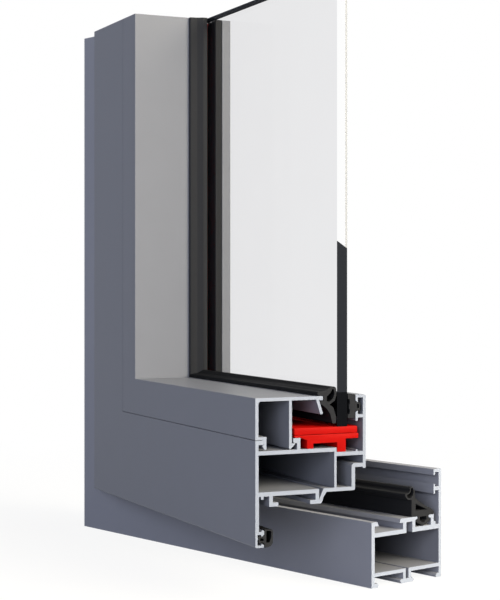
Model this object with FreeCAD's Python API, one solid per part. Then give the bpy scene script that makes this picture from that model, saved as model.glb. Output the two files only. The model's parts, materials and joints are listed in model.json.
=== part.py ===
import FreeCAD
import Part
import math
import os

# Corner sample of an aluminium inward opening window, millimetres.
# Working frame: X along the sill from the outer face of the jamb, Y from the
# room face of the fixed frame towards the outside, Z up from the sole.
# Every profile section is drawn in (y, z), where z is measured from the outer
# edge of the profile, so the sill or rail is a straight extrusion along X and
# the jamb or stile is its mirror image in the 45 degree mitre plane.

# Driving dimensions
SILL_LENGTH = 228.6
CORNER_HEIGHT = 272.5
FRAME_DEPTH = 45.0
FRAME_FRONT_HEIGHT = 29.3
FRAME_REAR_HEIGHT = 50.1
FRAME_WALL = 1.95
FRAME_REAR_WALL = 1.6
FRAME_SOLE = 4.9
FRAME_WEB = 1.6
CHAMBER_HEIGHT = 16.0
SEAL_GROOVE = 10.3
SEAL_GROOVE_INSET = 6.8

SASH_OFFSET = 24.1
SASH_STEP = 8.4
RAIL_LENGTH = 206.9
STILE_LENGTH = CORNER_HEIGHT - SASH_OFFSET
SASH_DEPTH = 53.2
SASH_WALL = 1.5
SASH_REAR_WALL = 1.4
SASH_HEIGHT = 63.4
FLANGE_WALL = 1.7
FLANGE_HEIGHT = 21.6
LOWER_WEB = 1.8
REBATE_FLOOR = 40.8
REBATE_WEB = 1.7
REBATE_STEP = 2.0
REAR_STEP = 5.3
DRIP_HEIGHT = 31.3
DIVIDER_INSET = 15.5
DIVIDER_WALL = 1.1
HARDWARE_GROOVE_START = 8.2
HARDWARE_GROOVE_WIDTH = 20.4
HARDWARE_LIP = 2.6
SEAL_LIP = 4.1
SEAL_CLEARANCE = 0.15

BEAD_SEAT = 45.3
BEAD_TOP = 63.3
BEAD_WALL = 1.45
BEAD_CATCH = 17.2
BEAD_JOINT = 0.25
CATCH_POST = 19.7

GLASS_THICKNESS = 5.0
GLASS_EDGE = 49.8
OUTER_SLOT_INSET = 5.0
OUTER_GASKET_SPACE = 4.2
INNER_GASKET_SPACE = 6.9
GASKET_CLEARANCE = 0.3
SLOT_FACE = SASH_DEPTH - OUTER_SLOT_INSET
GLASS_BACK = SLOT_FACE - OUTER_GASKET_SPACE
GLASS_FRONT = GLASS_BACK - GLASS_THICKNESS
BEAD_TIP = GLASS_FRONT - INNER_GASKET_SPACE
PACKER_START = 55.0
PACKER_THICKNESS = 3.1
PACKER_RIB = 0.8
PACKER_RIB_HEIGHT = 0.2

OPEN_ANGLE = 15.0
HINGE_X = 21.26
HINGE_Y = -3.29
HINGE_BOTTOM = 100.0
HINGE_TOP = 160.0
KNUCKLE_RADIUS = 2.6
KNUCKLE_GAP = 0.1
KNUCKLE_RELIEF = 0.35
PIN_RADIUS = 1.4
PIN_CLEARANCE = 0.05
PIN_GRIP = 0.02
PIN_HEAD = 1.5
LEAF_THICKNESS = 1.6
FRAME_LEAF_WIDTH = 8.9
SASH_LEAF_THICKNESS = 1.8
SASH_LEAF_CRANK = 7.9
SASH_LEAF_WIDTH = 10.3
SEAL_END_GAP = 1.0

CLEAT_ARM = 62.0
CLEAT_WALL = 3.0
CLEAT_CLEARANCE = 0.1

# Middle of the footprint of the whole sample, which becomes the origin.
OPEN = math.radians(OPEN_ANGLE)
CORNER_RIGHT = SASH_OFFSET + RAIL_LENGTH - HINGE_X
REACH_X = HINGE_X + CORNER_RIGHT * math.cos(OPEN) + (
    SASH_DEPTH - SASH_STEP - HINGE_Y) * math.sin(OPEN)
REACH_Y = HINGE_Y - CORNER_RIGHT * math.sin(OPEN) - (SASH_STEP + HINGE_Y) * math.cos(OPEN)
ORIGIN_X = max(REACH_X, SILL_LENGTH) / 2.0
ORIGIN_Y = (REACH_Y + FRAME_DEPTH) / 2.0


def outline(points):
    """Face in the YZ plane; a third number at a corner is its radius."""
    count = len(points)
    area = 0.0
    for index in range(count):
        area += points[index - 1][0] * points[index][1] - points[index][0] * points[index - 1][1]
    if area < 0.0:
        points = points[::-1]
    edges = []
    starts = []
    ends = []
    arcs = []
    for index in range(count):
        here = FreeCAD.Vector(0, points[index][0], points[index][1])
        before = points[index - 1]
        after = points[(index + 1) % count]
        radius = points[index][2] if len(points[index]) > 2 else 0.0
        if radius <= 0.0:
            starts.append(here)
            ends.append(here)
            arcs.append(None)
            continue
        back = FreeCAD.Vector(0, before[0], before[1]).sub(here)
        ahead = FreeCAD.Vector(0, after[0], after[1]).sub(here)
        back.normalize()
        ahead.normalize()
        half = back.getAngle(ahead) / 2.0
        run = radius / math.tan(half)
        first = here.add(FreeCAD.Vector(back).multiply(run))
        last = here.add(FreeCAD.Vector(ahead).multiply(run))
        inward = back.add(ahead)
        inward.normalize()
        centre = here.add(FreeCAD.Vector(inward).multiply(radius / math.sin(half)))
        middle = centre.sub(FreeCAD.Vector(inward).multiply(radius))
        starts.append(first)
        ends.append(last)
        arcs.append(middle)
    for index in range(count):
        if arcs[index] is not None:
            arc = Part.Arc(starts[index], arcs[index], ends[index])
            edges.append(arc.toShape())
        following = starts[(index + 1) % count]
        if ends[index].distanceToPoint(following) > 1e-6:
            edges.append(Part.makeLine(ends[index], following))
    return Part.Face(Part.Wire(edges))


def wall(y0, y1, z0, z1):
    """Rectangular piece of a section."""
    return outline([(y0, z0), (y1, z0), (y1, z1), (y0, z1)])


def join(faces):
    """One face from overlapping or touching section pieces."""
    whole = faces[0].fuse(faces[1:])
    return whole.removeSplitter()


def pierce(face, holes):
    for hole in holes:
        face = face.cut(hole)
    return face


def extrude_x(face, start, end):
    solid = face.extrude(FreeCAD.Vector(end - start, 0, 0))
    solid.translate(FreeCAD.Vector(start, 0, 0))
    return solid


def mitre(solid):
    """Keep the side of the 45 degree plane x = z where x is larger."""
    size = CORNER_HEIGHT + SILL_LENGTH
    side = FRAME_DEPTH + SASH_DEPTH
    triangle = Part.makePolygon([
        FreeCAD.Vector(-size, -side, -size),
        FreeCAD.Vector(size, -side, size),
        FreeCAD.Vector(-size, -side, size),
        FreeCAD.Vector(-size, -side, -size),
    ])
    wedge = Part.Face(triangle).extrude(FreeCAD.Vector(0, 2 * side, 0))
    return solid.cut(wedge)


def turn_up(solid):
    """Mirror a horizontal bar into the upright one in the mitre plane."""
    base = FreeCAD.Vector(0, 0, 0)
    return solid.mirror(base, FreeCAD.Vector(1, 0, -1))


def mitred_bar(face, length):
    return mitre(extrude_x(face, -5.0, length))


def place_frame(shape):
    moved = shape.copy()
    moved.translate(FreeCAD.Vector(-ORIGIN_X, -ORIGIN_Y, 0))
    return moved


def place_sash(shape):
    """Closed position first, then swing open about the hinge axis."""
    moved = shape.copy()
    moved.translate(FreeCAD.Vector(SASH_OFFSET, -SASH_STEP, SASH_OFFSET))
    axis_point = FreeCAD.Vector(HINGE_X, HINGE_Y, 0)
    moved.rotate(axis_point, FreeCAD.Vector(0, 0, 1), -OPEN_ANGLE)
    return place_frame(moved)


def frame_section():
    """Fixed frame: sole with three feet, chamber, hardware channel, seal groove, rear wall."""
    d = FRAME_DEPTH
    t = FRAME_WALL
    r = d - FRAME_REAR_WALL
    top = FRAME_FRONT_HEIGHT
    high = FRAME_REAR_HEIGHT
    sole = FRAME_SOLE
    floor = sole + FRAME_WEB
    web = floor + CHAMBER_HEIGHT
    lip = top - 1.9
    mid = d / 2.0 + 0.1
    groove_rear = d - SEAL_GROOVE_INSET
    groove_front = groove_rear - SEAL_GROOVE
    foot = 1.9
    return join([
        wall(0, t, 0, top),
        outline([(0, 0), (t + 2.0, 0), (t + 2.4, 1.0), (t + 1.9, foot), (0, foot)]),
        outline([(0, lip), (t + 2.6, lip), (t + 1.6, top), (0, top)]),
        wall(t, mid - 0.9, sole, floor),
        wall(mid - 2.6, mid - 0.9, 1.0, floor),
        outline([(mid - 4.6, 1.4), (mid - 3.8, 0), (mid + 3.8, 0), (mid + 4.3, 0.9),
                 (mid + 3.6, foot), (mid - 4.0, foot)]),
        wall(mid + 0.9, mid + 2.6, 1.0, floor),
        wall(mid + 0.9, r, sole, floor),
        outline([(r, 0), (r, foot), (r - 1.2, 1.8), (r - 2.0, 0.9), (r - 1.6, 0)]),
        wall(t, groove_front - 5.8, web, web + 1.9),
        wall(groove_front - 7.9, groove_front - 5.8, web + 1.5, lip + 0.6),
        outline([(groove_front - 10.1, lip), (groove_front, lip), (groove_front + 0.4, lip + 0.6),
                 (groove_front + 1.4, lip + 0.8), (groove_front + 1.4, top - 0.3),
                 (groove_front + 1.0, top), (groove_front - 9.5, top)]),
        wall(groove_front - 1.9, groove_front, web, lip + 0.6),
        wall(groove_front - 1.9, r, web, web + 2.1),
        wall(groove_rear, groove_rear + 1.9, web + 1.5, top),
        outline([(groove_rear - 1.4, lip + 0.9), (groove_rear - 1.0, lip + 0.6),
                 (groove_rear + 0.4, lip + 0.6), (groove_rear + 0.4, top),
                 (groove_rear - 1.1, top), (groove_rear - 1.4, top - 0.3)]),
        outline([(r - 3.4, web + 1.5), (r - 2.1, web + 1.5), (r - 2.1, web + 3.1),
                 (r - 2.6, web + 3.6), (r - 3.4, web + 3.6)]),
        outline([(r, 0), (d, 0, 0.3), (d, high, 0.5), (d - 5.0, high, 0.2),
                 (d - 5.0, high - 3.0, 0.2), (d - 4.0, high - 2.6), (d - 4.0, high - 1.5),
                 (r, high - 1.5)]),
        wall(d - 4.5, r, high - 9.9, high - 8.2),
        outline([(d - 5.0, high - 11.4, 0.3), (d - 4.0, high - 11.4, 0.3),
                 (d - 4.0, high - 7.1), (d - 5.0, high - 6.8)]),
    ])


def sash_section():
    """Sash: seal flange, hardware groove, chamber, glazing rebate and outer upstand."""
    d = SASH_DEPTH
    t = SASH_WALL
    f = FLANGE_WALL
    r = d - SASH_REAR_WALL
    top = SASH_HEIGHT
    floor = REBATE_FLOOR
    under = floor - REBATE_WEB
    web = FLANGE_HEIGHT
    inside = web + LOWER_WEB
    lip = SEAL_LIP
    g = HARDWARE_GROOVE_START
    h = g + HARDWARE_GROOVE_WIDTH
    hook = web - 4.5
    box = d - REAR_STEP
    drip = DRIP_HEIGHT
    divider = d - DIVIDER_INSET
    slot = SLOT_FACE
    post = CATCH_POST
    return join([
        outline([(0, 0, 0.8), (2.0, 0), (2.0, 1.0), (1.0, 1.0), (1.0, 3.5), (1.35, 3.9),
                 (1.0, 4.3), (1.0, 5.6), (f, 5.6), (f, web + 0.8), (t, web + 0.8),
                 (t, BEAD_SEAT), (0, BEAD_SEAT)]),
        outline([(1.5, 0), (lip - 0.1, 0, 0.3), (lip - 0.1, 1.1), (lip - 1.1, 1.75),
                 (lip - 1.3, 1.0), (1.5, 1.0)]),
        outline([(1.0, 5.5), (lip - 1.3, 5.5), (lip - 1.3, 4.9), (lip - 1.0, 4.7),
                 (lip, 5.5), (lip, 7.1, 0.4), (lip - 0.8, 7.5), (lip - 1.3, 6.7), (1.0, 6.7)]),
        wall(0, 3.9, BEAD_SEAT - 1.8, BEAD_SEAT),
        wall(g - 5.5, g - 4.3, web - 1.3, web + 0.4),
        wall(t - 0.5, h + 1.7, web, inside),
        wall(g - 1.7, g, hook, web + 0.4),
        wall(g - 1.7, g + HARDWARE_LIP, hook, hook + 1.7),
        wall(h, h + 1.7, hook, web + 0.4),
        outline([(h - HARDWARE_LIP, hook), (h + 2.6, hook, 0.5), (h + 3.4, hook + 1.1),
                 (h + 3.7, hook + 2.5), (h + 5.3, web + 0.3), (h + 5.9, inside + 0.1),
                 (h + 3.9, inside + 0.1), (h + 1.8, hook + 1.7), (h - HARDWARE_LIP, hook + 1.7)]),
        outline([(h + 4.4, web + 0.3), (box, web + 0.3, 0.8), (box, drip + 0.6),
                 (r, drip + 0.6), (r + 0.1, drip), (d - 0.2, drip), (d, drip + 0.5),
                 (d, top, 0.9), (slot, top, 0.2), (slot, top - 2.6, 0.2),
                 (slot + 1.1, top - 3.3), (slot + 1.1, top - 1.3), (r, top - 1.3),
                 (r, drip + 2.3), (box - 0.8, drip + 2.3), (box - 1.7, drip + 1.4),
                 (box - 1.7, inside + 0.1), (h + 4.4, inside + 0.1)]),
        wall(divider, divider + DIVIDER_WALL, inside - 0.4, floor),
        wall(t, divider + DIVIDER_WALL, under, floor),
        wall(divider, r + 0.2, under - REBATE_STEP, floor - REBATE_STEP),
        wall(slot + 0.1, slot + 1.0, under - 0.6, floor - REBATE_STEP + 0.7),
        wall(post, post + 1.6, floor - 0.8, BEAD_SEAT + 0.4),
        outline([(post - 1.4, BEAD_SEAT - 1.7), (post + 1.6, BEAD_SEAT - 1.7),
                 (post + 1.6, BEAD_SEAT + 0.4), (post - 1.8, BEAD_SEAT + 0.4, 0.3),
                 (post - 1.8, BEAD_SEAT - 1.1)]),
        wall(slot + 0.6, r + 0.2, top - 10.0, top - 8.6),
        outline([(slot, top - 11.4, 0.4), (slot + 1.1, top - 11.4, 0.4),
                 (slot + 1.1, top - 7.1), (slot + 0.5, top - 7.2), (slot, top - 7.7)]),
    ])


def bead_section():
    """Glazing bead: hollow box with a hooked foot, a barbed leg and a gasket lip."""
    t = BEAD_WALL
    top = BEAD_TOP
    under = top - t
    seat = BEAD_SEAT
    tip = BEAD_TIP
    leg = BEAD_CATCH
    return join([
        outline([(0, under), (tip - 1.7, under), (tip - 1.5, under - 0.35),
                 (tip, under - 0.35, 0.3), (tip, top, 0.3), (0, top, 0.3)]),
        wall(0, t, seat + 0.5, under + 0.6),
        outline([(t - 0.2, under - 1.0), (t + 1.0, under + 0.3), (t - 0.2, under + 0.3)]),
        outline([(0, seat + BEAD_JOINT, 0.1), (3.3, seat + BEAD_JOINT), (3.4, seat),
                 (3.95, seat), (3.95, seat - 1.9), (3.3, seat - 2.1), (4.1, seat - 3.8),
                 (4.6, seat - 4.0), (5.2, seat - 3.7), (5.2, seat + 1.5), (0, seat + 1.5)]),
        outline([(leg - 1.3, under + 0.3), (leg, under + 0.3), (leg, seat - 1.8),
                 (leg + 1.4, seat - 1.8), (leg + 1.4, seat - 2.3), (leg - 0.3, seat - 3.9),
                 (leg - 0.8, seat - 4.2), (leg - 1.3, seat - 3.9)]),
        outline([(tip - 3.3, under + 0.3), (tip - 2.0, under + 0.3), (tip + 0.15, under - 6.4, 0.5),
                 (tip - 1.25, under - 6.4, 0.5)]),
    ])


def inner_glazing_gasket_section():
    """Gasket between the bead's tip and the room side of the glass."""
    g = GLASS_FRONT - GASKET_CLEARANCE
    top = BEAD_TOP + 0.1
    tip = BEAD_TIP + 0.2
    body = outline([
        (tip - 2.7, top), (tip, top), (tip, top - 2.1), (tip - 1.6, top - 2.1),
        (tip - 1.3, top - 3.2), (tip + 1.7, top - 5.6), (g - 3.1, top - 7.8),
        (g - 2.2, top - 10.8), (g - 1.8, top - 12.1, 0.4), (g - 0.2, top - 12.1, 0.6),
        (g - 0.2, top - 9.0, 1.5), (g - 1.5, top - 5.2, 1.2), (g - 3.3, top - 3.9),
        (g - 0.7, top - 2.2, 0.8), (g, top + 0.2, 2.0), (g - 0.1, top + 3.8, 1.2),
        (g - 2.7, top + 3.8, 0.8), (tip + 1.0, top + 2.1, 2.0), (tip - 2.7, top + 1.7, 0.4)])
    loop = outline([
        (g - 4.8, top - 2.6, 0.5), (g - 3.3, top - 2.6, 0.5), (g - 1.7, top - 1.4, 0.8),
        (g - 0.9, top + 0.6, 1.0), (g - 1.2, top + 2.8, 0.3), (g - 2.0, top + 2.8, 0.3),
        (g - 2.7, top + 1.3, 0.5), (g - 4.6, top - 0.3, 0.5)])
    return pierce(body, [loop])


def outer_glazing_gasket_section():
    """Gasket between the outer side of the glass and the slot of the sash's upstand."""
    g = GLASS_BACK + GASKET_CLEARANCE
    s = SLOT_FACE - GASKET_CLEARANCE
    top = SASH_HEIGHT
    body = outline([
        (g, top - 10.1), (s, top - 10.1, 0.3), (s, top - 7.4), (s + 0.7, top - 6.9),
        (s + 1.6, top - 7.0), (s + 2.6, top - 6.8, 0.6), (s + 2.6, top - 3.2, 0.6),
        (s + 1.6, top - 3.5), (s + 0.7, top - 3.1), (s, top - 2.5), (s, top + 0.2, 0.3),
        (g, top + 0.5), (g, top - 1.7), (g + 0.9, top - 2.0), (g + 1.1, top - 3.7),
        (g + 0.6, top - 4.3), (g + 0.6, top - 5.9), (g + 1.0, top - 6.5),
        (g + 0.9, top - 8.2), (g, top - 8.5)])
    core = outline([(s + 1.0, top - 5.9, 0.45), (s + 2.0, top - 5.9, 0.45),
                    (s + 2.0, top - 4.0, 0.45), (s + 1.0, top - 4.0, 0.45)])
    return pierce(body, [core])


def overlap_gasket_section():
    """Hollow seal in the sash flange; it stops short of the closed frame face."""
    lip = SEAL_LIP
    e = SASH_STEP - SEAL_CLEARANCE
    body = outline([
        (1.5, 2.1, 0.3), (2.6, 2.1), (3.2, 2.3), (lip + 0.1, 1.5), (lip + 0.1, 0.05),
        (lip + 1.9, 0.05), (e - 0.8, 0.6, 1.0), (e, 1.9, 1.0), (e, 6.4, 1.0),
        (e - 0.4, 7.5, 0.5), (lip + 0.1, 7.7), (lip + 0.1, 5.2), (3.2, 4.4), (2.6, 5.1),
        (1.5, 4.9, 0.3)])
    anchor = outline([(2.2, 2.7, 0.4), (3.2, 2.9), (3.9, 2.7, 0.4), (3.9, 4.0, 0.4),
                      (3.2, 3.9), (2.2, 4.4, 0.4)])
    bulb = outline([(lip + 1.0, 2.0, 0.4), (e - 1.6, 2.0, 0.5), (e - 0.8, 4.4),
                    (e - 0.7, 6.5, 0.5), (e - 1.2, 7.0, 0.3), (lip + 1.0, 7.1, 0.4)])
    return pierce(body, [anchor, bulb])


def central_gasket_section():
    """Tall seal of the fixed frame: anchor in the groove, hollow foot and hooked lip."""
    base = FRAME_FRONT_HEIGHT
    c = FRAME_DEPTH - SEAL_GROOVE_INSET - SEAL_GROOVE / 2.0
    body = outline([
        (c - 7.6, base), (c - 3.4, base), (c - 3.4, base - 1.3), (c - 4.8, base - 1.9, 0.3),
        (c - 4.1, base - 2.8), (c - 1.6, base - 3.8), (c, base - 4.5, 0.3),
        (c + 2.2, base - 3.8), (c + 4.5, base - 2.5), (c + 4.8, base - 1.8, 0.3),
        (c + 3.5, base - 1.4), (c + 3.5, base), (c + 7.0, base), (c + 6.9, base + 1.6, 0.4),
        (c + 5.5, base + 2.6), (c + 0.5, base + 5.0), (c - 3.2, base + 7.1),
        (c - 5.3, base + 8.7, 0.8), (c - 5.6, base + 12.0, 1.5), (c - 7.1, base + 14.0, 0.5),
        (c - 8.6, base + 13.9, 0.3), (c - 8.6, base + 12.0, 0.9), (c - 9.5, base + 11.3),
        (c - 11.8, base + 10.9, 0.4), (c - 11.5, base + 9.6, 0.8), (c - 9.8, base + 8.0, 1.0),
        (c - 7.6, base + 7.9)])
    chamber = outline([(c - 4.9, base + 2.7), (c + 2.7, base + 2.6), (c - 4.9, base + 5.9)])
    anchor = outline([(c - 2.2, base - 0.3, 0.3), (c - 2.2, base - 1.9), (c + 0.2, base - 3.3),
                      (c + 2.2, base - 1.9), (c + 2.2, base - 0.3, 0.3)])
    hook = outline([(c - 10.7, base + 10.4, 0.2), (c - 10.2, base + 9.2, 0.4),
                    (c - 8.4, base + 8.7, 0.6), (c - 6.7, base + 9.8), (c - 6.2, base + 11.6, 0.6),
                    (c - 6.8, base + 13.2, 0.3), (c - 8.0, base + 13.3, 0.2),
                    (c - 8.1, base + 11.8, 0.4), (c - 9.1, base + 10.8)])
    return pierce(body, [chamber, anchor, hook])


def bridge_section():
    """Bridge that stands on both levels of the rebate and over the bead's catch."""
    low = REBATE_FLOOR
    high = low - REBATE_STEP
    top = GLASS_EDGE - PACKER_THICKNESS
    post = CATCH_POST
    step = SASH_DEPTH - DIVIDER_INSET + DIVIDER_WALL + 0.3
    back = SLOT_FACE + SASH_REAR_WALL
    return outline([
        (post - 1.3, top), (post - 1.3, top - 0.5), (post - 0.8, BEAD_SEAT + 0.4),
        (post + 1.8, BEAD_SEAT + 0.4), (post + 4.8, top - 2.2), (post + 4.8, low),
        (post + 7.9, low), (post + 7.9, low + 2.2), (step, low + 2.2), (step, high),
        (step + 4.3, high), (step + 4.3, top - 2.2), (back, top - 2.2), (back, top)])


def packer_section():
    """Flat packer under the glass; three low ribs carry it on the bridge."""
    low = GLASS_EDGE - PACKER_THICKNESS
    under = low + PACKER_RIB_HEIGHT
    front = CATCH_POST - 1.3
    back = SLOT_FACE + 0.8
    points = [(front, under)]
    for place in (front + 2.0, (front + back) / 2.0, back - 2.0):
        points += [(place - PACKER_RIB, under), (place - PACKER_RIB / 2.0, low),
                   (place + PACKER_RIB / 2.0, low), (place + PACKER_RIB, under)]
    points += [(back, under), (back, GLASS_EDGE, 0.4), (front, GLASS_EDGE, 0.3)]
    return outline(points)


def corner_cleat(y0, y1, z0, z1):
    """Cast angle with two hollow arms that fills the profile chambers."""
    gap = CLEAT_CLEARANCE
    low = z0 + gap
    high = z1 - gap
    end = low + CLEAT_ARM
    side = [
        FreeCAD.Vector(low, y0 + gap, low),
        FreeCAD.Vector(end, y0 + gap, low),
        FreeCAD.Vector(end, y0 + gap, high),
        FreeCAD.Vector(high, y0 + gap, high),
        FreeCAD.Vector(high, y0 + gap, end),
        FreeCAD.Vector(low, y0 + gap, end),
        FreeCAD.Vector(low, y0 + gap, low),
    ]
    depth = y1 - y0 - 2 * gap
    angle = Part.Face(Part.makePolygon(side)).extrude(FreeCAD.Vector(0, depth, 0))
    inner = high - low - 2 * CLEAT_WALL
    length = end - high - 2 * CLEAT_WALL
    across = Part.makeBox(length, y1 - y0 + 2 * gap, inner)
    across.translate(FreeCAD.Vector(high + CLEAT_WALL, y0 - gap, low + CLEAT_WALL))
    upright = Part.makeBox(inner, y1 - y0 + 2 * gap, length)
    upright.translate(FreeCAD.Vector(low + CLEAT_WALL, y0 - gap, high + CLEAT_WALL))
    return angle.cut(across).cut(upright)


def knuckle(x, y, z0, z1, bore):
    height = z1 - z0
    centre = FreeCAD.Vector(x, y, z0)
    up = FreeCAD.Vector(0, 0, 1)
    barrel = Part.makeCylinder(KNUCKLE_RADIUS, height, centre, up)
    hole = Part.makeCylinder(bore, height, centre, up)
    return barrel, hole


def hinge_frame_leaf():
    """Flat leaf on the room face of the jamb with an upper and a lower knuckle."""
    third = (HINGE_TOP - HINGE_BOTTOM) / 3.0
    bore = PIN_RADIUS + PIN_GRIP
    start_x = HINGE_X - FRAME_LEAF_WIDTH
    plate = Part.makeBox(FRAME_LEAF_WIDTH, LEAF_THICKNESS, HINGE_TOP - HINGE_BOTTOM)
    plate.translate(FreeCAD.Vector(start_x, -LEAF_THICKNESS, HINGE_BOTTOM))
    middle = FreeCAD.Vector(HINGE_X, HINGE_Y, HINGE_BOTTOM + third)
    clear = Part.makeCylinder(KNUCKLE_RADIUS + KNUCKLE_RELIEF, third, middle,
                              FreeCAD.Vector(0, 0, 1))
    leaf = plate.cut(clear)
    holes = []
    for start in (HINGE_BOTTOM, HINGE_TOP - third):
        barrel, hole = knuckle(HINGE_X, HINGE_Y, start, start + third, bore)
        leaf = leaf.fuse(barrel)
        holes.append(hole)
    for hole in holes:
        leaf = leaf.cut(hole)
    return leaf.removeSplitter()


def hinge_sash_leaf():
    """Cranked leaf with the middle knuckle, in sash coordinates."""
    third = (HINGE_TOP - HINGE_BOTTOM) / 3.0
    z0 = HINGE_BOTTOM + third + KNUCKLE_GAP - SASH_OFFSET
    z1 = HINGE_TOP - third - KNUCKLE_GAP - SASH_OFFSET
    x = HINGE_X - SASH_OFFSET
    y = HINGE_Y + SASH_STEP
    low = FLANGE_WALL
    over = SEAL_LIP
    t = SASH_LEAF_THICKNESS
    bend = SASH_LEAF_CRANK
    end = bend + SASH_LEAF_WIDTH
    corners = [(x, over), (bend, over), (bend, low), (end, low), (end, low + t),
               (bend + t, low + t), (bend + t, over + t), (x, over + t), (x, over)]
    path = [FreeCAD.Vector(a, b, z0) for a, b in corners]
    plate = Part.Face(Part.makePolygon(path)).extrude(FreeCAD.Vector(0, 0, z1 - z0))
    barrel, hole = knuckle(x, y, z0, z1, PIN_RADIUS + PIN_CLEARANCE)
    return plate.fuse(barrel).cut(hole).removeSplitter()


def hinge_pin():
    """Pin with a flat head that rests on the upper knuckle."""
    up = FreeCAD.Vector(0, 0, 1)
    low = FreeCAD.Vector(HINGE_X, HINGE_Y, HINGE_BOTTOM)
    head = FreeCAD.Vector(HINGE_X, HINGE_Y, HINGE_TOP)
    shank = Part.makeCylinder(PIN_RADIUS, HINGE_TOP - HINGE_BOTTOM + PIN_HEAD / 2.0, low, up)
    cap = Part.makeCylinder(KNUCKLE_RADIUS - 0.3, PIN_HEAD, head, up)
    return shank.fuse(cap).removeSplitter()


def glass_pane():
    width = RAIL_LENGTH - GLASS_EDGE
    height = STILE_LENGTH - GLASS_EDGE
    pane = Part.makeBox(width, GLASS_THICKNESS, height)
    pane.translate(FreeCAD.Vector(GLASS_EDGE, GLASS_FRONT, GLASS_EDGE))
    return pane


def hinge_gap_cut(solid, keep_below):
    """Leave the upright overlap gasket out where the hinge leaf sits."""
    low = HINGE_BOTTOM - SASH_OFFSET - SEAL_END_GAP
    high = HINGE_TOP - SASH_OFFSET + SEAL_END_GAP
    side = SASH_DEPTH
    tall = CORNER_HEIGHT
    base = low if keep_below else high - tall
    box = Part.makeBox(2 * side, 2 * side, tall, FreeCAD.Vector(-side, -side, base))
    return solid.cut(box)


def build_parts():
    frame = frame_section()
    sash = sash_section()
    bead = bead_section()
    inner = inner_glazing_gasket_section()
    outer = outer_glazing_gasket_section()
    overlap = overlap_gasket_section()
    central = central_gasket_section()
    bridge = bridge_section()
    packer = packer_section()
    rail = RAIL_LENGTH
    stile = STILE_LENGTH
    overlap_upright = turn_up(mitred_bar(overlap, stile))
    frame_floor = FRAME_SOLE + FRAME_WEB
    sash_floor = FLANGE_HEIGHT + LOWER_WEB
    sash_ceiling = REBATE_FLOOR - REBATE_WEB
    frame_back = FRAME_DEPTH - FRAME_REAR_WALL
    fixed = {
        "frame_sill": mitred_bar(frame, SILL_LENGTH),
        "frame_jamb": turn_up(mitred_bar(frame, CORNER_HEIGHT)),
        "frame_corner_cleat": corner_cleat(FRAME_WALL, frame_back, frame_floor,
                                           frame_floor + CHAMBER_HEIGHT),
        "central_gasket_sill": mitred_bar(central, SILL_LENGTH),
        "central_gasket_jamb": turn_up(mitred_bar(central, CORNER_HEIGHT)),
        "hinge_frame_leaf": hinge_frame_leaf(),
        "hinge_pin": hinge_pin(),
    }
    swinging = {
        "sash_rail": mitred_bar(sash, rail),
        "sash_stile": turn_up(mitred_bar(sash, stile)),
        "sash_corner_cleat": corner_cleat(SASH_WALL, SASH_DEPTH - DIVIDER_INSET, sash_floor,
                                          sash_ceiling),
        "bead_rail": mitred_bar(bead, rail),
        "bead_stile": turn_up(mitred_bar(bead, stile)),
        "inner_glazing_gasket_rail": mitred_bar(inner, rail),
        "inner_glazing_gasket_stile": turn_up(mitred_bar(inner, stile)),
        "outer_glazing_gasket_rail": mitred_bar(outer, rail),
        "outer_glazing_gasket_stile": turn_up(mitred_bar(outer, stile)),
        "overlap_gasket_rail": mitred_bar(overlap, rail),
        "overlap_gasket_stile_lower": hinge_gap_cut(overlap_upright, True),
        "overlap_gasket_stile_upper": hinge_gap_cut(overlap_upright, False),
        "glass_pane": glass_pane(),
        "glass_bridge_rail": extrude_x(bridge, PACKER_START, rail),
        "glass_packer_rail": extrude_x(packer, PACKER_START, rail),
        "glass_bridge_stile": turn_up(extrude_x(bridge, PACKER_START, stile)),
        "glass_packer_stile": turn_up(extrude_x(packer, PACKER_START, stile)),
        "hinge_sash_leaf": hinge_sash_leaf(),
    }
    parts = {}
    for name, shape in fixed.items():
        parts[name] = place_frame(shape)
    for name, shape in swinging.items():
        parts[name] = place_sash(shape)
    return parts


os.makedirs("parts", exist_ok=True)
for part_name, part_shape in build_parts().items():
    if part_shape.ShapeType == "Compound" and len(part_shape.Solids) == 1:
        part_shape = part_shape.Solids[0]
    part_shape.exportStep("parts/" + part_name + ".step")
    box = part_shape.BoundBox
    print(part_name, part_shape.ShapeType, len(part_shape.Solids), part_shape.isValid(),
          round(part_shape.Volume / 1000.0, 2), "x", round(box.XMin, 2), round(box.XMax, 2),
          "y", round(box.YMin, 2), round(box.YMax, 2), "z", round(box.ZMin, 2), round(box.ZMax, 2))
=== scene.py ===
import json
import math

import bpy
from mathutils import Matrix, Vector

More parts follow.
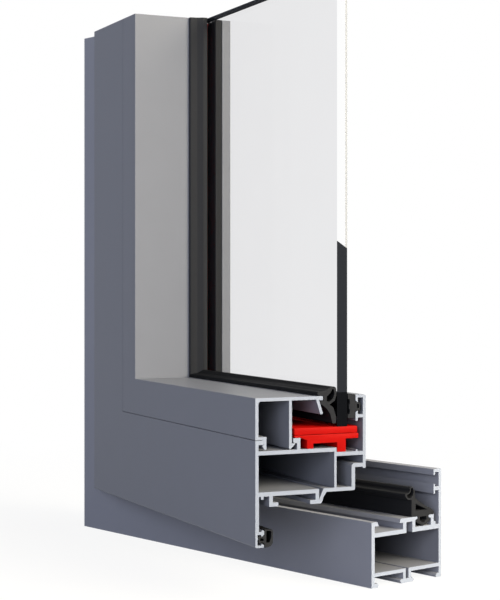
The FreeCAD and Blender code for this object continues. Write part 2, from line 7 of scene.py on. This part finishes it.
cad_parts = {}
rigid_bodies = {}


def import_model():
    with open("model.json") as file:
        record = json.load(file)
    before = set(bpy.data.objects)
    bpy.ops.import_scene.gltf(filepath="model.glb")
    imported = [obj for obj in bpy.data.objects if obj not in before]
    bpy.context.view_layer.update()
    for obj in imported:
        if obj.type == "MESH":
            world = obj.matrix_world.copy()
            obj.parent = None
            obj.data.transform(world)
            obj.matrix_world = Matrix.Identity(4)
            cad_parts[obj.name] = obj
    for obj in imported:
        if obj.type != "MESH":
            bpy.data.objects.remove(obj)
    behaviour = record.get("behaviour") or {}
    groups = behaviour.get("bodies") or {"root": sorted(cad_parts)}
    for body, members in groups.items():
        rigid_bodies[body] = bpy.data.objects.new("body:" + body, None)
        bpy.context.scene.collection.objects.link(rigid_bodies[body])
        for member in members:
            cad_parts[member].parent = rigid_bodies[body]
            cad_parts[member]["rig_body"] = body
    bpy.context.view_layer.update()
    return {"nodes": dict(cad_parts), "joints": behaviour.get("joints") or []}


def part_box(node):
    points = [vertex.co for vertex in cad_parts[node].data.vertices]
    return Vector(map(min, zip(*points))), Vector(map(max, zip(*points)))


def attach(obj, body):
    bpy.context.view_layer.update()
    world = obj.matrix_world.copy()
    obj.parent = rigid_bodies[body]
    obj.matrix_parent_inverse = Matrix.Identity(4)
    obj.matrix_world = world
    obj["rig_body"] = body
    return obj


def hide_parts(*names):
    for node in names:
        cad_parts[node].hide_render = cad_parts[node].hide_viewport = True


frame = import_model()
nodes = frame["nodes"]

# Lengths are in metres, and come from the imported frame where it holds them.
MM = 0.001
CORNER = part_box("frame_sill")[0]
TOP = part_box("frame_jamb")[1].z
SILL_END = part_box("frame_sill")[1].x
HINGE = Vector(frame["joints"][0]["pos_m"])
ACROSS = Vector((1.0, 0.0, 0.0))
UP = Vector((0.0, 0.0, 1.0))

# The sash stands this far open. Closed, its corner is this far in and up from the
# fixed frame's corner, and its room face this far in front of the frame's.
SWING = math.radians(15.0)
SASH_OFFSET = 24.1 * MM
SASH_STEP = 8.4 * MM
RAIL_LENGTH = 206.9 * MM

# Sash coordinates: x along the rail, y to the outside, z up the stile.
CLOSED_CORNER = CORNER + Vector((SASH_OFFSET, -SASH_STEP, SASH_OFFSET))
SASH_PLACE = (Matrix.Translation(HINGE) @ Matrix.Rotation(-SWING, 4, "Z")
              @ Matrix.Translation(CLOSED_CORNER - HINGE))
FRAME_PLACE = Matrix.Translation(CORNER)
RAIL_AXIS = Vector((math.cos(SWING), -math.sin(SWING), 0.0))
RAIL_NORMAL = Vector((math.sin(SWING), math.cos(SWING), 0.0))
RAIL_END = (SASH_PLACE @ Vector((RAIL_LENGTH, 0, 0))).dot(RAIL_AXIS)

# A point that lies this close to a sawn end or a pane's face counts as on it.
CUT_SKIN = 0.02 * MM

# The fixed frame's closed chamber, from the outer faces of the section. Above the
# chamber's floor its side walls and its lid begin.
CHAMBER_FRONT = 1.9 * MM
CHAMBER_REAR = 43.5 * MM
CHAMBER_FLOOR = 6.4 * MM
CHAMBER_WALLS = 7.5 * MM
CHAMBER_LID = 22.6 * MM

# In there the coat is painted darker from the cut inwards, as painted shade, between these two
# depths. The walls and the lid are always painted at least this much darker. Full painted shade
# leaves this share of the coat's colour.
SHADE_FROM = -14.0 * MM
SHADE_TO = 46.0 * MM
SHADE_WALLS = 0.4
SHADED_SHARE = 0.32

# The pane's room face in the sash, and the marks on its edges. A dark band runs along the
# top edge. The dark lower part of the cut edge ends in a slanted line, and is painted darker
# still at its foot, as shade between the gaskets. A pale strip starts this far behind the room
# face.
PANE_DEPTH = 39.0 * MM
PANE_FRONT = (SASH_PLACE @ Vector((RAIL_LENGTH, PANE_DEPTH, 0))).dot(RAIL_NORMAL)
STRIP_START = 4.1 * MM
TOP_BAND = 0.45 * MM
EDGE_SLOPE = 0.65
DARK_EDGE_TOP = PANE_FRONT * EDGE_SLOPE + 154.4 * MM
EDGE_SHADE_HEIGHT = 88.8 * MM

# Linear colours and tints.
# Frame and sash wear one paint and show one sawn metal; the frame's coat and sawn level are set
# lighter than the sash's, as painted light.
FRAME_LIT_COAT = (0.255, 0.264, 0.305)
SASH_SHADED_COAT = (0.177, 0.186, 0.217)
FRAME_LIT_SAWN = 0.378
SASH_SHADED_SAWN = 0.295
SAWN_TINT = (0.90, 0.99, 1.22)
RUBBER_TINT = (0.96, 1.0, 1.14)
DARK_EDGE_TINT = (0.9, 1.0, 1.3)
GLASS_TINT = (1.0, 1.0, 1.014)
RED_LOW = (0.325, 0.002, 0.001, 1.0)
RED_HIGH = (0.37, 0.0025, 0.0012, 1.0)
ARRIS_COLOUR = (0.335, 0.345, 0.37, 1.0)
FLOOR_BOUNCE = (0.27, 0.285, 0.34, 1.0)
AMBIENT = (0.135, 0.140, 0.172, 1.0)

# Radii of the moulded edges.
SEAL_EDGE = 0.12 * MM
PACKER_EDGE = 0.18 * MM

# Screw seats on the two hinge leaves, in millimetres, in frame and sash coordinates.
FRAME_SCREWS = ((15.1, -1.6, 109.0), (15.1, -1.6, 130.0), (15.1, -1.6, 151.0))
SASH_SCREWS = ((14.4, 3.5, 101.0), (14.4, 3.5, 110.8))

# Every lamp is a square of this side at this distance, aimed at the middle of the part.
LAMP_SIZE = 1.1
LAMP_DISTANCE = 1.8
LAMP_AIM = Vector((0.0, 0.0, 0.12))


class Value:
    """A shader socket that takes part in Python arithmetic."""

    def __init__(self, shader, socket):
        self.shader = shader
        self.socket = socket

    def __add__(self, other):
        return self.shader.math("ADD", self, other)

    def __radd__(self, other):
        return self.shader.math("ADD", other, self)

    def __sub__(self, other):
        return self.shader.math("SUBTRACT", self, other)

    def __rsub__(self, other):
        return self.shader.math("SUBTRACT", other, self)

    def __mul__(self, other):
        return self.shader.math("MULTIPLY", self, other)

    def __rmul__(self, other):
        return self.shader.math("MULTIPLY", other, self)

    def __gt__(self, other):
        return self.shader.math("GREATER_THAN", self, other)

    def __or__(self, other):
        return self.shader.math("MAXIMUM", self, other)


class Shader:
    """The nodes of a new material or of the world."""

    def __init__(self, owner):
        self.owner = owner
        owner.use_nodes = True
        self.tree = owner.node_tree
        self.tree.nodes.clear()

    def node(self, kind, settings=None, inputs=None, output=0):
        """Add a node, with its settings first, then the values or links of its sockets."""
        made = self.tree.nodes.new(kind)
        for key, value in (settings or {}).items():
            setattr(made, key, value)
        for key, value in (inputs or {}).items():
            if isinstance(value, Value):
                self.tree.links.new(value.socket, made.inputs[key])
            else:
                made.inputs[key].default_value = value
        if made.outputs:
            return Value(self, made.outputs[output])
        return None

    def math(self, operation, *values):
        inputs = dict(enumerate(values))
        return self.node("ShaderNodeMath", {"operation": operation}, inputs)

    def mix(self, factor, low, high):
        """Mix two colours; 6 and 7 are the Mix node's colour sockets."""
        return self.node("ShaderNodeMix", {"data_type": "RGBA"},
                         {0: factor, 6: low, 7: high}, output=2)

    def coordinates(self):
        return self.node("ShaderNodeTexCoord", output="Object")

    def part(self, vector, axis):
        """One of a vector's three numbers."""
        return self.node("ShaderNodeSeparateXYZ", inputs={0: vector}, output=axis)

    def along(self, vector, direction):
        """How far a vector reaches along a direction."""
        return self.node("ShaderNodeVectorMath", {"operation": "DOT_PRODUCT"},
                         {0: vector, 1: direction}, output="Value")

    def ramp(self, value, start, end, low, high):
        """Low at the start and high at the end, even between them and level outside."""
        return self.node("ShaderNodeMapRange", inputs={
            "Value": value, "From Min": start, "From Max": end,
            "To Min": low, "To Max": high})

    def noise(self, vector, scale, detail=2.0, stretch=None):
        """Cloudy values about 0.5, with scale cells to the metre."""
        if stretch is not None:
            vector = self.node("ShaderNodeMapping", inputs={0: vector, "Scale": stretch})
        return self.node("ShaderNodeTexNoise", inputs={
            "Vector": vector, "Scale": scale, "Detail": detail})

    def bump(self, height, strength, distance):
        return self.node("ShaderNodeBump", inputs={
            "Height": height, "Strength": strength, "Distance": distance})

    def finish(self, inputs):
        """Close the material with a Principled shader."""
        surface = self.node("ShaderNodeBsdfPrincipled", inputs=inputs)
        self.node("ShaderNodeOutputMaterial", inputs={"Surface": surface})
        return self.owner


def new_shader(name):
    return Shader(bpy.data.materials.new(name))


def grey(level, tint=(1.0, 1.0, 1.0)):
    return (level * tint[0], level * tint[1], level * tint[2], 1.0)


def cut_mask(shader, place, rides_on_sash):
    """1 on the sawn ends: the upright's top and the sill's or rail's free end."""
    top = shader.part(place, "Z") > TOP - CUT_SKIN
    if rides_on_sash:
        side = shader.along(place, RAIL_AXIS) > RAIL_END - CUT_SKIN
    else:
        side = shader.part(place, "X") > SILL_END - CUT_SKIN
    return top | side


def chamber_shade_mask(shader, place):
    """How much painted shade darkens the fixed frame's coat: up to 1 in the closed chambers, 0
    elsewhere.
    """
    run = shader.part(place, "X")
    rise = shader.part(place, "Z")
    depth = shader.part(place, "Y")
    height = shader.math("MINIMUM", run - CORNER.x, rise)
    from_cut = shader.math("MINIMUM", SILL_END - run, TOP - rise)
    behind_front = depth > CORNER.y + CHAMBER_FRONT
    before_rear = 1.0 - (depth > CORNER.y + CHAMBER_REAR)
    chamber = (height > CHAMBER_FLOOR) * (1.0 - (height > CHAMBER_LID))
    walls = height > CHAMBER_WALLS
    deep = shader.ramp(from_cut, SHADE_FROM, SHADE_TO, 0.0, 1.0)
    return behind_front * before_rear * chamber * (deep | (walls * SHADE_WALLS))


def coated_aluminium(name, rides_on_sash, colour, sawn):
    """Satin grey coating with bright sawn aluminium at the cut ends."""
    shader = new_shader(name)
    place = shader.coordinates()
    cut = cut_mask(shader, place, rides_on_sash)
    cloud = shader.noise(place, 60.0, 3.0)
    coat = shader.mix(cloud, grey(0.97, colour), grey(1.03, colour))
    # The fixed frame's coat is painted darker inside its closed chambers, as shade.
    if not rides_on_sash:
        coat = shader.mix(chamber_shade_mask(shader, place), coat, grey(SHADED_SHARE, colour))
    saw_marks = shader.noise(place, 700.0, 2.0, (1.0, 1.0, 9.0))
    metal = shader.mix(saw_marks, grey(0.965 * sawn, SAWN_TINT), grey(1.035 * sawn, SAWN_TINT))
    orange_peel = shader.noise(place, 2600.0, 2.0)
    height = orange_peel * (1.0 - cut) + saw_marks * cut
    return shader.finish({
        "Base Color": shader.mix(cut, coat, metal),
        "Metallic": cut * 0.15,
        "Roughness": 0.38 + cut * 0.12 + cloud * 0.05,
        "Specular IOR Level": 0.05,
        "Normal": shader.bump(height, 0.08, 0.06 * MM)})


def plain_aluminium(name):
    """Bare extruded aluminium with fine lines along the die."""
    shader = new_shader(name)
    place = shader.coordinates()
    lines = shader.noise(place, 1500.0, 2.0, (1.0, 1.0, 0.05))
    return shader.finish({
        "Base Color": shader.mix(lines, grey(0.40), grey(0.52)),
        "Metallic": 0.7,
        "Roughness": 0.32 + lines * 0.12,
        "Normal": shader.bump(lines, 0.1, 0.04 * MM)})


def seal_rubber(name, rides_on_sash, level):
    """Matt black rubber of that grey level, rougher where the saw went through it."""
    shader = new_shader(name)
    place = shader.coordinates()
    cut = cut_mask(shader, place, rides_on_sash)
    grain = shader.noise(place, 1900.0, 3.0)
    skin = shader.mix(grain, grey(level * 0.85, RUBBER_TINT), grey(level * 1.15, RUBBER_TINT))
    core = shader.mix(grain, grey(0.020, RUBBER_TINT), grey(0.028, RUBBER_TINT))
    return shader.finish({
        "Base Color": shader.mix(cut, skin, core),
        "Roughness": 0.52 + cut * 0.3 + grain * 0.08,
        "Specular IOR Level": 0.03,
        "Normal": shader.bump(grain, 0.12, 0.05 * MM)})


def packer_plastic(name):
    """Red injection moulded polymer with a fine eroded texture."""
    shader = new_shader(name)
    place = shader.coordinates()
    grain = shader.noise(place, 2200.0, 2.0)
    flow = shader.noise(place, 60.0, 2.0)
    return shader.finish({
        "Base Color": shader.mix(flow, RED_LOW, RED_HIGH),
        "Roughness": 0.45 + grain * 0.1,
        "Specular IOR Level": 0.08,
        "Normal": shader.bump(grain, 0.1, 0.05 * MM)})


def glass_body(shader, place, depth, side):
    """Clear glass that takes its faint tint once, at the room face, and lets lamps through."""
    film = shader.noise(place, 40.0, 2.0)
    front = 1.0 - (depth > PANE_FRONT + CUT_SKIN)
    lamp = shader.node("ShaderNodeLightPath", output="Is Shadow Ray")
    clear = shader.node("ShaderNodeBsdfTransparent", inputs={"Color": grey(1.0)})
    tinted = shader.node("ShaderNodeBsdfTransparent", inputs={"Color": grey(0.822, GLASS_TINT)})
    share = front * (1.0 - lamp) * (0.9 + film * 0.1)
    through = shader.node("ShaderNodeMixShader", inputs={0: share, 1: clear, 2: tinted})
    gloss = shader.node("ShaderNodeBsdfGlossy", inputs={"Color": grey(0.45), "Roughness": 0.0})
    facing = shader.node("ShaderNodeLayerWeight", inputs={"Blend": 0.5}, output="Facing")
    sheen = (0.004 + 0.4 * shader.math("POWER", facing, 5.0)) * (1.0 - side)
    return shader.node("ShaderNodeMixShader", inputs={0: sheen, 1: through, 2: gloss})


def clear_glass(name):
    """Float glass, dark along its top edge and on the lower part of its cut edge."""
    shader = new_shader(name)
    place = shader.coordinates()
    depth = shader.along(place, RAIL_NORMAL)
    height = shader.part(place, "Z")
    side = shader.along(place, RAIL_AXIS) > RAIL_END - CUT_SKIN
    pane = glass_body(shader, place, depth, side)
    arris = shader.node("ShaderNodeBsdfDiffuse", inputs={"Color": ARRIS_COLOUR})
    strip = side * (depth > PANE_FRONT + STRIP_START)
    edge = shader.node("ShaderNodeMixShader", inputs={0: strip, 1: pane, 2: arris})
    top = height > TOP - TOP_BAND
    low = 1.0 - (height + EDGE_SLOPE * depth > DARK_EDGE_TOP)
    above_edge_shade = height > EDGE_SHADE_HEIGHT
    # Low on the cut edge, between the gaskets, the dark colour is painted darker still, as shade.
    upright = shader.mix(above_edge_shade, grey(0.005, DARK_EDGE_TINT), grey(0.018, DARK_EDGE_TINT))
    dark_edge = shader.node("ShaderNodeBsdfPrincipled", inputs={
        "Base Color": shader.mix(top, upright, grey(0.05, DARK_EDGE_TINT)),
        "Roughness": 0.5,
        "Specular IOR Level": 0.0})
    dark = top | (side * low)
    surface = shader.node("ShaderNodeMixShader", inputs={0: dark, 1: edge, 2: dark_edge})
    shader.node("ShaderNodeOutputMaterial", inputs={"Surface": surface})
    return shader.owner


def dress(material, *names):
    """Give that material to CAD nodes that show as they are."""
    for name in names:
        slots = nodes[name].data.materials
        slots.clear()
        slots.append(material)


def rounded_copy(node, name, run, radius, material):
    """The part's own section with its long sharp edges rounded, as moulded."""
    source = nodes[node]
    piece = bpy.data.objects.new(name, source.data.copy())
    bpy.context.scene.collection.objects.link(piece)
    bpy.ops.object.select_all(action="DESELECT")
    piece.select_set(True)
    bpy.context.view_layer.objects.active = piece
    # Join the loose triangles into flat faces, then pick the sharp edges.
    bpy.ops.object.mode_set(mode="EDIT")
    bpy.ops.mesh.select_mode(type="EDGE")
    bpy.ops.mesh.select_all(action="SELECT")
    bpy.ops.mesh.remove_doubles(threshold=0.002 * MM)
    bpy.ops.mesh.dissolve_limited(angle_limit=math.radians(0.5))
    bpy.ops.mesh.select_all(action="DESELECT")
    bpy.ops.mesh.edges_select_sharp(sharpness=math.radians(32.0))
    bpy.ops.object.mode_set(mode="OBJECT")
    # Only edges along the run are moulded; the ends are sawn and stay sharp.
    points = piece.data.vertices
    for edge in piece.data.edges:
        line = points[edge.vertices[1]].co - points[edge.vertices[0]].co
        if edge.select and abs(line.normalized().dot(run)) < 0.999:
            edge.select = False
    bpy.ops.object.mode_set(mode="EDIT")
    bpy.ops.mesh.bevel(offset=radius, segments=2, clamp_overlap=True)
    bpy.ops.object.mode_set(mode="OBJECT")
    bpy.ops.object.shade_smooth_by_angle(angle=math.radians(38.0))
    piece.data.materials.clear()
    piece.data.materials.append(material)
    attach(piece, source["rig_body"])
    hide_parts(node)


def seal_pieces():
    """Rubber seals of one rubber; the level ones get a darker colour than the upright ones, as
    painted shade.
    """
    fixed_level_shaded = seal_rubber("fixed_seal_rubber_level_shaded", False, 0.014)
    fixed_upright_lit = seal_rubber("fixed_seal_rubber_upright_lit", False, 0.024)
    sash_level_shaded = seal_rubber("sash_seal_rubber_level_shaded", True, 0.009)
    sash_upright_lit = seal_rubber("sash_seal_rubber_upright_lit", True, 0.026)
    rows = [
        ("central_gasket_sill", "central_seal_sill", ACROSS, fixed_level_shaded),
        ("central_gasket_jamb", "central_seal_jamb", UP, fixed_upright_lit),
        ("inner_glazing_gasket_rail", "inner_glazing_seal_rail", RAIL_AXIS, sash_level_shaded),
        ("inner_glazing_gasket_stile", "inner_glazing_seal_stile", UP, sash_upright_lit),
        ("outer_glazing_gasket_rail", "outer_glazing_seal_rail", RAIL_AXIS, sash_level_shaded),
        ("outer_glazing_gasket_stile", "outer_glazing_seal_stile", UP, sash_upright_lit),
        ("overlap_gasket_rail", "overlap_seal_rail", RAIL_AXIS, sash_level_shaded),
        ("overlap_gasket_stile_lower", "overlap_seal_stile_lower", UP, sash_upright_lit),
        ("overlap_gasket_stile_upper", "overlap_seal_stile_upper", UP, sash_upright_lit)]
    for node, name, run, rubber in rows:
        rounded_copy(node, name, run, SEAL_EDGE, rubber)


def packer_pieces():
    """Red packers and the bridges under them, with moulded edges."""
    plastic = packer_plastic("packer_plastic")
    rows = [
        ("glass_bridge_rail", "packer_bridge_rail", RAIL_AXIS),
        ("glass_packer_rail", "packer_rail", RAIL_AXIS),
        ("glass_bridge_stile", "packer_bridge_stile", UP),
        ("glass_packer_stile", "packer_stile", UP)]
    for node, name, run in rows:
        rounded_copy(node, name, run, PACKER_EDGE, plastic)


def pan_head(name):
    """Low domed screw head with a cross recess, its seat at the origin and its axis up."""
    rim_middle = (0, 0, 0.2 * MM)
    recess_middle = (0, 0, 0.75 * MM)
    arm_long = 2.3
    arm_wide = 0.5
    arm_tall = 0.9
    bpy.ops.object.select_all(action="DESELECT")
    bpy.ops.mesh.primitive_cylinder_add(vertices=32, radius=2.0 * MM, depth=0.5 * MM,
                                        location=rim_middle)
    head = bpy.context.object
    head.name = name
    bpy.ops.object.transform_apply(location=True)
    bpy.ops.object.mode_set(mode="EDIT")
    bpy.ops.mesh.select_mode(type="FACE")
    bpy.ops.mesh.select_all(action="DESELECT")
    bpy.ops.object.mode_set(mode="OBJECT")
    for face in head.data.polygons:
        face.select = face.normal.z > 0.9
    # Two insets raise the top face into a low dome.
    bpy.ops.object.mode_set(mode="EDIT")
    bpy.ops.mesh.inset(thickness=0.35 * MM, depth=0.2 * MM)
    bpy.ops.mesh.inset(thickness=0.45 * MM, depth=0.1 * MM)
    bpy.ops.object.mode_set(mode="OBJECT")
    for arm in ((arm_long, arm_wide, arm_tall), (arm_wide, arm_long, arm_tall)):
        bpy.ops.object.select_all(action="DESELECT")
        bpy.ops.mesh.primitive_cube_add(size=1.0 * MM, location=recess_middle)
        cutter = bpy.context.object
        bpy.ops.transform.resize(value=arm)
        bpy.ops.object.transform_apply(location=True, scale=True)
        cut = head.modifiers.new("recess", "BOOLEAN")
        cut.operation = "DIFFERENCE"
        cut.solver = "EXACT"
        cut.object = cutter
        bpy.context.view_layer.objects.active = head
        bpy.ops.object.modifier_apply(modifier="recess")
        bpy.data.objects.remove(cutter)
    bpy.ops.object.select_all(action="DESELECT")
    head.select_set(True)
    bpy.ops.object.shade_smooth_by_angle(angle=math.radians(30.0))
    return head


def hinge_screws(material):
    """Three heads on the frame leaf and two on the sash leaf, each with its own mesh."""
    pattern = pan_head("screw_pattern")
    toward_room = Matrix.Rotation(math.radians(90.0), 4, "X")
    toward_outside = Matrix.Rotation(math.radians(-90.0), 4, "X")
    leaves = [
        ("frame", FRAME_SCREWS, FRAME_PLACE, toward_room),
        ("sash", SASH_SCREWS, SASH_PLACE, toward_outside)]
    for body, seats, body_place, turn in leaves:
        for number, seat in enumerate(seats, start=1):
            name = "%s_leaf_screw_%d" % (body, number)
            screw = bpy.data.objects.new(name, pattern.data.copy())
            bpy.context.scene.collection.objects.link(screw)
            screw.data.transform(body_place @ Matrix.Translation(Vector(seat) * MM) @ turn)
            screw.data.materials.clear()
            screw.data.materials.append(material)
            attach(screw, body)
    bpy.data.objects.remove(pattern)


def studio_rays(shader):
    """1 for the rays by which the background is seen, straight or in gloss and glass."""
    straight = shader.node("ShaderNodeLightPath", output="Is Camera Ray")
    glossy = shader.node("ShaderNodeLightPath", output="Is Glossy Ray")
    passed = shader.node("ShaderNodeLightPath", output="Is Transmission Ray")
    return straight | glossy | passed


def studio_floor():
    """White to the eye with the soft shadow of the part, and a cool pale bounce."""
    shader = new_shader("studio_floor")
    seen = studio_rays(shader)
    cool = shader.node("ShaderNodeBsdfDiffuse", inputs={"Color": FLOOR_BOUNCE})
    white = shader.node("ShaderNodeBsdfDiffuse", inputs={"Color": grey(0.97)})
    pale = shader.node("ShaderNodeMixShader", inputs={0: seen, 1: cool, 2: white})
    glow = shader.node("ShaderNodeEmission", inputs={"Color": grey(1.0), "Strength": 1.0})
    place = shader.coordinates()
    reach = shader.node("ShaderNodeVectorMath", {"operation": "LENGTH"}, {0: place}, output="Value")
    # The shadow fades out between 0.20 and 0.55 m from the part's middle.
    fade = shader.ramp(reach, 0.20, 0.55, 0.90, 1.0)
    surface = shader.node("ShaderNodeMixShader", inputs={0: seen * fade, 1: pale, 2: glow})
    shader.node("ShaderNodeOutputMaterial", inputs={"Surface": surface})
    bpy.ops.mesh.primitive_plane_add(size=30.0, location=(0, 0, -0.2 * MM))
    floor = bpy.context.object
    floor.name = "floor"
    bpy.ops.object.transform_apply(location=True)
    floor.data.materials.append(shader.owner)


def studio_world():
    """A dim cool surround for the light, and a white one for what is seen."""
    world = bpy.data.worlds.new("studio")
    bpy.context.scene.world = world
    shader = Shader(world)
    seen = studio_rays(shader)
    ambient = shader.node("ShaderNodeBackground", inputs={"Color": AMBIENT, "Strength": 1.0})
    white = shader.node("ShaderNodeBackground", inputs={"Color": grey(1.0), "Strength": 1.0})
    surface = shader.node("ShaderNodeMixShader", inputs={0: seen, 1: ambient, 2: white})
    shader.node("ShaderNodeOutputWorld", inputs={"Surface": surface})


def softbox(name, azimuth, elevation, power, colour):
    """Square lamp, placed by its bearing from the part, in degrees right of the room side."""
    bearing = math.radians(azimuth)
    rise = math.radians(elevation)
    level = math.cos(rise)
    toward = Vector((math.sin(bearing) * level, -math.cos(bearing) * level, math.sin(rise)))
    light = bpy.data.lights.new(name, "AREA")
    light.shape = "SQUARE"
    light.size = LAMP_SIZE
    light.energy = power
    light.color = colour
    lamp = bpy.data.objects.new(name, light)
    lamp.location = LAMP_AIM + toward * LAMP_DISTANCE
    lamp.rotation_euler = toward.to_track_quat("Z", "Y").to_euler()
    bpy.context.scene.collection.objects.link(lamp)


def studio_lamps():
    """Two warm lamps on the side of the cut ends, cool ones in front, one high behind."""
    softbox("side_high", 105.0, 28.0, 33.0, (1.0, 0.89, 0.64))
    softbox("side_low", 98.0, 22.0, 34.0, (1.0, 0.93, 0.74))
    softbox("front_fill", 34.0, 9.0, 20.0, (0.84, 0.88, 1.0))
    softbox("left_fill", -58.0, 16.0, 3.5, (0.76, 0.85, 1.0))
    softbox("top_rear", 145.0, 52.0, 10.5, (1.0, 0.97, 0.88))


def photo_camera():
    """The camera as recovered from the photograph's upright and level edges."""
    camera = bpy.data.cameras.new("camera")
    camera.sensor_fit = "VERTICAL"
    camera.sensor_height = 36.0
    camera.lens = 92.08
    camera.shift_y = -0.0308
    camera.clip_start = 0.01
    camera.clip_end = 50.0
    stand = bpy.data.objects.new("camera", camera)
    stand.location = (0.59943, -0.47101, 0.13670)
    stand.rotation_euler = (math.radians(90.0), 0.0, math.radians(90.0 - 39.926))
    bpy.context.scene.collection.objects.link(stand)
    bpy.context.scene.camera = stand


def build():
    """Dress the CAD nodes, add the scene's own pieces and set up the studio."""
    bpy.ops.object.select_all(action="DESELECT")
    # The frame's coat is lighter than the sash's only as painted light.
    frame_lit_coat = coated_aluminium("fixed_profile_coat_lit", False, FRAME_LIT_COAT, FRAME_LIT_SAWN)
    sash_shaded_coat = coated_aluminium("sash_profile_coat_shaded", True, SASH_SHADED_COAT, SASH_SHADED_SAWN)
    dress(frame_lit_coat, "frame_sill", "frame_jamb")
    dress(sash_shaded_coat, "sash_rail", "sash_stile", "bead_rail", "bead_stile")
    bare = plain_aluminium("bare_aluminium")
    dress(bare, "frame_corner_cleat", "sash_corner_cleat")
    dress(bare, "hinge_pin", "hinge_frame_leaf", "hinge_sash_leaf")
    seal_pieces()
    packer_pieces()
    hinge_screws(bare)
    dress(clear_glass("clear_glass"), "glass_pane")
    studio_floor()
    studio_world()
    studio_lamps()
    photo_camera()
    bpy.context.scene.view_settings.view_transform = "Standard"


build()
bpy.context.view_layer.update()
